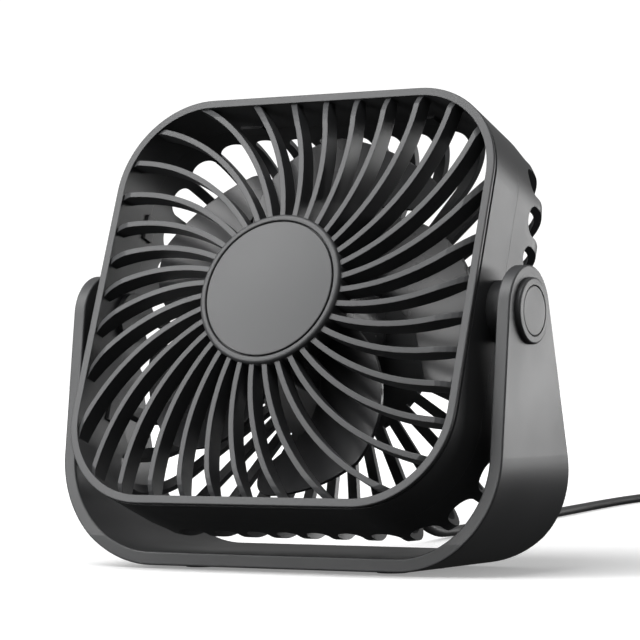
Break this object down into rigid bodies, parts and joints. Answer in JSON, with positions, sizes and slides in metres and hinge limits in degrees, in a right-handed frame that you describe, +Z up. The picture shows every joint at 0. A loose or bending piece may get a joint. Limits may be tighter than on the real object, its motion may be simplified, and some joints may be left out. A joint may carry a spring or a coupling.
{
  "type": "desk fan",
  "caption": "Small square-headed USB desk fan with a swirled grille, tilting in a U-shaped bracket, with a coiled lead.",
  "frame": {"origin": "on the surface the fan stands on, under the middle of the bracket base", "axes": "+Z up; the air leaves towards -Y at 20 degrees above level; +X is to the right seen from the front, along the tilt axis"},
  "size_m": [0.1807, 0.6044, 0.1428],
  "materials": {
    "stand_plastic": "moulded ABS, satin charcoal",
    "shell_plastic": "moulded ABS, fine matte charcoal",
    "badge_plastic": "smooth satin charcoal",
    "impeller_plastic": "satin black polypropylene",
    "button_plastic": "satin charcoal",
    "switch_plastic": "black nylon",
    "board": "green solder-masked glass epoxy",
    "lamp": "clear epoxy over white package",
    "lamp_lens": "diffusing acrylic light pipe",
    "motor_steel": "zinc plated drawn steel",
    "motor_cap_plastic": "natural nylon",
    "magnet": "sintered ferrite",
    "armature": "lacquered laminations",
    "bearing_bronze": "oil-filled bronze",
    "contact_brass": "plated brass",
    "screw_steel": "zinc plated steel",
    "bush_plastic": "black acetal",
    "washer_fibre": "fibre friction washer",
    "foot_rubber": "soft silicone rubber",
    "cord_rubber": "smooth matte PVC jacket",
    "lead_red": "PVC insulated wire",
    "lead_black": "PVC insulated wire",
    "tie_plastic": "hook and loop tie",
    "plug_plastic": "moulded PVC",
    "plug_steel": "nickel plated steel",
    "plug_tongue_plastic": "white nylon"
  },
  "bodies": {
    "stand": {"bracket": "stand_plastic", "foot_1": "foot_rubber", "foot_2": "foot_rubber", "foot_3": "foot_rubber", "foot_4": "foot_rubber", "left_pivot_bush": "bush_plastic", "left_pivot_collar": "stand_plastic", "left_pivot_cover": "stand_plastic", "left_friction_washer": "washer_fibre", "right_pivot_bush": "bush_plastic", "right_pivot_collar": "stand_plastic", "right_pivot_cover": "stand_plastic", "right_friction_washer": "washer_fibre", "cord_tube": "cord_rubber", "cord_coil": "cord_rubber", "cord_tie": "tie_plastic", "cord_end": "cord_rubber", "plug_body": "plug_plastic", "plug_shell": "plug_steel", "plug_tongue": "plug_tongue_plastic", "plug_contact_1": "contact_brass", "plug_contact_2": "contact_brass", "plug_contact_3": "contact_brass", "plug_contact_4": "contact_brass"},
    "head": {"badge": "badge_plastic", "board_screw_1": "screw_steel", "board_screw_2": "screw_steel", "circuit_board": "board", "control_housing": "shell_plastic", "cord_start": "cord_rubber", "front_bearing": "bearing_bronze", "front_shell": "shell_plastic", "lamp": "lamp", "lamp_lens": "lamp_lens", "left_pivot_boss": "shell_plastic", "left_pivot_screw": "screw_steel", "motor_can": "motor_steel", "motor_end_cap": "motor_cap_plastic", "motor_magnets": "magnet", "motor_screw_1": "screw_steel", "motor_screw_2": "screw_steel", "motor_tab_1": "contact_brass", "motor_tab_2": "contact_brass", "rear_bearing": "bearing_bronze", "rear_shell": "shell_plastic", "right_pivot_boss": "shell_plastic", "right_pivot_screw": "screw_steel", "strain_relief": "cord_rubber", "supply_lead_1": "lead_red", "supply_lead_2": "lead_black", "switch_body": "switch_plastic"},
    "rotor": {"motor_shaft": "motor_steel", "motor_armature": "armature", "impeller": "impeller_plastic"},
    "button": {"speed_button": "button_plastic", "switch_plunger": "switch_plastic"}
  },
  "joints": [
    {"name": "head_tilt", "type": "hinge", "parent": "stand", "child": "head", "pos_m": [0, -0.0053, 0.0759], "axis": [-1, 0, 0], "range_deg": [-65, 70]},
    {"name": "rotor_spin", "type": "hinge", "parent": "head", "child": "rotor", "pos_m": [0, -0.0053, 0.0759], "axis": [0, 0.9397, -0.342], "continuous": true},
    {"name": "speed_button", "type": "slide", "parent": "head", "child": "button", "axis": [0, -0.9397, 0.342], "range_m": [0, 0.0004], "stiffness_N_per_m": 600}
  ]
}
